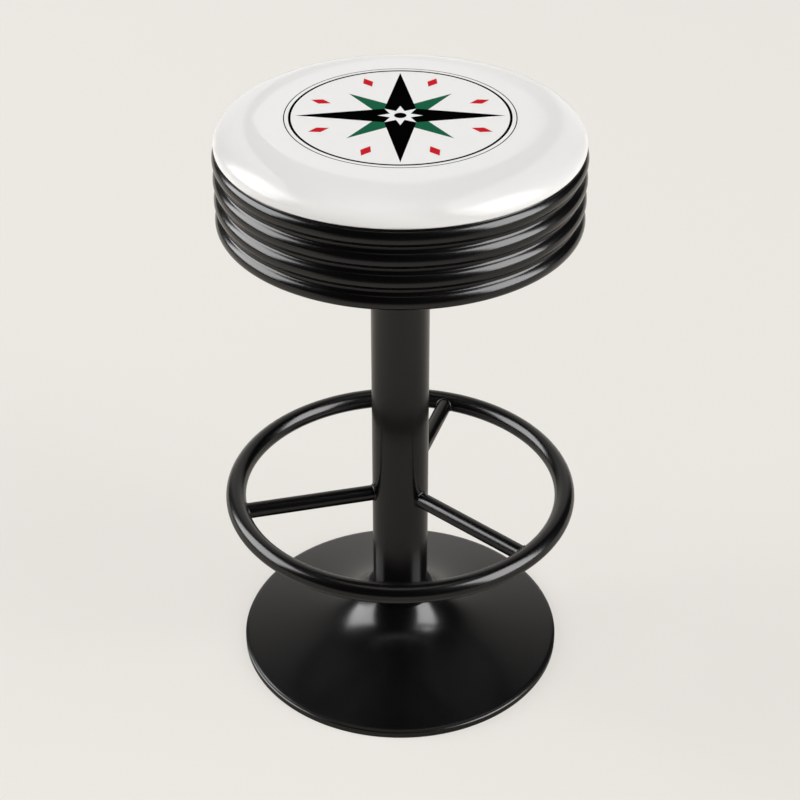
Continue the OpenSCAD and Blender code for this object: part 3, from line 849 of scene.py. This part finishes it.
class MakeBase(bpy.types.Operator):
    """The spun trumpet cover over the cast weight, the rubber ring and the foot plate"""

    bl_idname = "stool.make_base"
    bl_label = "Base"

    def execute(self, context):
        shape = context.scene.stool_shape
        radius = HIGH_BASE.x
        neck_z = HIGH_BASE.z
        neck_r = HIGH_COLLAR.x
        rim = shape.rim_round
        turn = shape.rim_slope
        rim_r = radius - rim * math.sin(shape.rim_end)
        rim_z = shape.skirt - rim * math.cos(shape.rim_end)
        end = np.array([rim_r + rim * math.sin(turn), rim_z + rim * math.cos(turn)])
        edge = shape.rim_edge
        leave = math.degrees(math.acos((radius - edge - rim_r) / (rim - edge)))
        edge_z = rim_z + (rim - edge) * math.sin(math.radians(leave))
        neck = np.array([neck_r, neck_z])
        down = np.array([math.cos(shape.neck_slope), -math.sin(shape.neck_slope)])
        back = np.array([-math.cos(turn), math.sin(turn)])
        bell = bezier([neck, neck + shape.neck_pull * down, end + shape.rim_pull * back, end],
                      steps=96)
        outer = np.vstack([
            bell,
            arc(rim_r, rim_z, rim, 90 - math.degrees(turn), leave, steps=12)[1:],
            arc(radius - edge, edge_z, edge, leave, 0, EDGE_STEPS)[1:],
            [[radius, LOW_BASE.z]],
        ])
        inner = offset(outer[:-EDGE_STEPS - 2], -shape.sheet)
        inner = inner[inner[:, 0] < radius - shape.sheet]
        foot = [[radius - shape.sheet, inner[-1, 1]], [radius - shape.sheet, LOW_BASE.z]]
        inner = np.vstack([inner, foot])
        bore = HIGH_COLUMN.x + shape.bore_gap
        profile = np.vstack([
            [[bore, neck_z - shape.sheet], [bore, neck_z]],
            outer,
            inner[::-1],
        ])
        points, faces = turned(profile, AROUND_BASE)
        coat = enamel("base_enamel", "base_gloss")
        cover = make_piece("trumpet_cover", points, faces, coat, "stand")
        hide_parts("base_cover")
        dress(["base_weight"], iron_material())
        dress(["floor_ring"], rubber_material())
        dress(["column_foot_plate"], enamel())
        return {"FINISHED"}


class MakeFittings(bpy.types.Operator):
    """The plated swivel, screws, bolts and nuts, which keep their CAD shapes"""

    bl_idname = "stool.make_fittings"
    bl_label = "Fittings"

    def execute(self, context):
        subparts = frame["record"]["subparts"]
        for slot, maker in (("zinc_steel", zinc_material), ("ball_steel", ball_material)):
            dress([s["node"] for s in subparts if s["material_slot"] == slot], maker())
        return {"FINISHED"}


def soft_box(name, studio, azimuth, elevation, facing, width, height, share):
    """A soft box seen from the stool at an azimuth from the front and an elevation, in
    degrees. It faces down by its own angle, and its width and height are given as shares
    of its distance. It is a lamp that only gloss shows, dimmed by its share, and a dimmer one
    that only lights matt surfaces. Cycles gives a lamp's face the level power / (4 x area)."""
    away = studio.lamp_away
    around = math.radians(azimuth)
    up = math.radians(elevation)
    place = (away * math.sin(around) * math.cos(up),
             -away * math.cos(around) * math.cos(up),
             LAMP_AIM + away * math.sin(up))
    for kind, level in (("gloss", studio.lamp_level * share), ("matt", studio.lamp_spill)):
        light = bpy.data.lights.new(name + kind, "AREA")
        light.shape = "RECTANGLE"
        light.size = width * away
        light.size_y = height * away
        light.energy = level * 4 * light.size * light.size_y
        lamp = bpy.data.objects.new(name + kind, light)
        bpy.context.scene.collection.objects.link(lamp)
        lamp.location = place
        lamp.rotation_euler = (math.radians(90 - facing), 0, around)
        lamp.visible_camera = False
        lamp.visible_glossy = kind == "gloss"
        lamp.visible_diffuse = kind == "matt"


class MakeStage(bpy.types.Operator):
    """The pale floor, the lamps, the world and the camera"""

    bl_idname = "stool.make_stage"
    bl_label = "Studio"

    def execute(self, context):
        scene = context.scene
        self.make_floor(scene)
        self.make_world(scene)
        self.make_lamps(scene)
        self.make_camera(scene)
        scene.view_settings.view_transform = "Standard"
        return {"FINISHED"}

    def make_floor(self, scene):
        """A flat disc, R (cos a, sin a, 0). The camera sees it pale, with the stool's shadow.
        Reflections see it in a painted warmer tint, with painted shade close by and in front and
        a painted glow at the sides."""
        a = np.linspace(0, TURN, AROUND, endpoint=False)
        rim = FLOOR_RADIUS * np.stack([np.cos(a), np.sin(a), 0 * a], 1)
        mesh = bpy.data.meshes.new("floor")
        mesh.from_pydata(rim.tolist(), [], [list(range(AROUND))])
        floor = bpy.data.objects.new("floor", mesh)
        scene.collection.objects.link(floor)
        material, t = new_material("pale_floor")
        tone = rgb(scene.stool_finish.floor)
        camera, glossy = self.rays(t)
        x, y, _ = t.split(t.place())
        away = (x * x + y * y + 0.0001).maths("SQRT")
        # Painted shade in reflections: the floor dims in front and close by the stool, and at the
        # sides a painted glow takes the place of the lit floor
        front = t.ramp(y / away, *FLOOR_FRONT) * t.ramp(away, *FLOOR_FRONT_AWAY)
        near = t.ramp(away, *FLOOR_NEAR)
        level = t.ramp(y / away, *FLOOR_BACK) * (1 - front) * near
        painted_glow_beside = t.ramp(abs(x) / away, *FLOOR_SIDE) * t.ramp(away, *FLOOR_SIDE_AWAY)
        tone_and_painted_reflection = t.blend(glossy, tone, rgb(scene.stool_finish.floor_painted_reflection))
        lit = t.add("ShaderNodeBsdfDiffuse", {},
                    {"Color": t.blend(glossy * (1 - level), tone_and_painted_reflection, rgb((0, 0, 0)))})
        glow = t.add("ShaderNodeEmission", {}, {"Color": tone_and_painted_reflection, "Strength": 1.0})
        share = camera * scene.stool_studio.floor_glow + glossy * painted_glow_beside
        t.finish(t.add("ShaderNodeMixShader", {}, {0: share, 1: lit, 2: glow}))
        mesh.materials.append(material)

    @staticmethod
    def rays(t):
        """1 for the camera's rays, and 1 for those of reflections and of clear things."""
        path = t.add("ShaderNodeLightPath").socket.node
        camera, glossy, through = (Signal(t, path.outputs[name]) for name in
                                   ("Is Camera Ray", "Is Glossy Ray", "Is Transmission Ray"))
        return camera, glossy.maths("MAXIMUM", through)

    def make_world(self, scene):
        """Pale to the camera. Reflections see a pale wall behind the stool that dims with
        height, a pale ceiling that starts at 64 degrees, and next to nothing in front. Matt
        surfaces get an even light, more of it from the front."""
        world = bpy.data.worlds.new("studio")
        scene.world = world
        t = Tree(world)
        tone = rgb(scene.stool_finish.floor)
        camera, glossy = self.rays(t)
        x, y, z = t.split(t.add("ShaderNodeTexCoord", output="Generated"))
        behind = y / (x * x + y * y).maths("SQRT")
        wall = t.ramp(behind, *WALL_BEHIND) * (WALL_LEVEL - z) * t.ramp(z, *WALL_HIGH)
        ceiling = t.ramp(z, *CEILING)
        level = wall.maths("MAXIMUM", ceiling) * glossy
        studio = scene.stool_studio
        fill = (1 - y * studio.fill_front) * studio.fill
        strength = camera + (1 - camera) * (level + (1 - glossy) * fill)
        t.finish(t.add("ShaderNodeBackground", {}, {"Color": tone, "Strength": strength}),
                 "ShaderNodeOutputWorld")

    def make_lamps(self, scene):
        studio = scene.stool_studio
        soft_box("left_", studio, azimuth=-99.5, elevation=30, facing=20,
                 width=0.81, height=0.74, share=studio.left_share)
        soft_box("right_", studio, azimuth=70.9, elevation=33.5, facing=19,
                 width=0.675, height=1.0, share=1)

    def make_camera(self, scene):
        studio = scene.stool_studio
        data = bpy.data.cameras.new("camera")
        data.sensor_width = 36
        data.lens = studio.lens
        data.shift_x = studio.camera_shift
        data.clip_end = 60
        camera = bpy.data.objects.new("camera", data)
        scene.collection.objects.link(camera)
        camera.location = (0, -studio.camera_back, studio.camera_up)
        camera.rotation_euler = (math.pi / 2 - studio.camera_tilt, 0, 0)
        scene.camera = camera


class StoolPanel(bpy.types.Panel):
    """Lists the stool's operators."""

    bl_label = "Bar stool"
    bl_idname = "VIEW3D_PT_bar_stool"
    bl_space_type = "VIEW_3D"
    bl_region_type = "UI"
    bl_category = "Stool"

    def draw(self, context):
        for operator in OPERATORS:
            self.layout.operator(operator.bl_idname)


GROUPS = {"stool_shape": StoolShape, "stool_finish": StoolFinish, "stool_studio": StoolStudio}
OPERATORS = (MakeCushion, MakeBand, MakeColumn, MakeFootRing, MakeBase, MakeFittings, MakeStage)


def register():
    for cls in (*GROUPS.values(), *OPERATORS, StoolPanel):
        bpy.utils.register_class(cls)
    for name, cls in GROUPS.items():
        setattr(bpy.types.Scene, name, PointerProperty(type=cls))


def unregister():
    for name in GROUPS:
        delattr(bpy.types.Scene, name)
    for cls in reversed((*GROUPS.values(), *OPERATORS, StoolPanel)):
        bpy.utils.unregister_class(cls)


def main():
    """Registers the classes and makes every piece."""
    register()
    for operator in OPERATORS:
        getattr(bpy.ops.stool, operator.bl_idname.split(".")[1])()


if __name__ == "__main__":
    main()
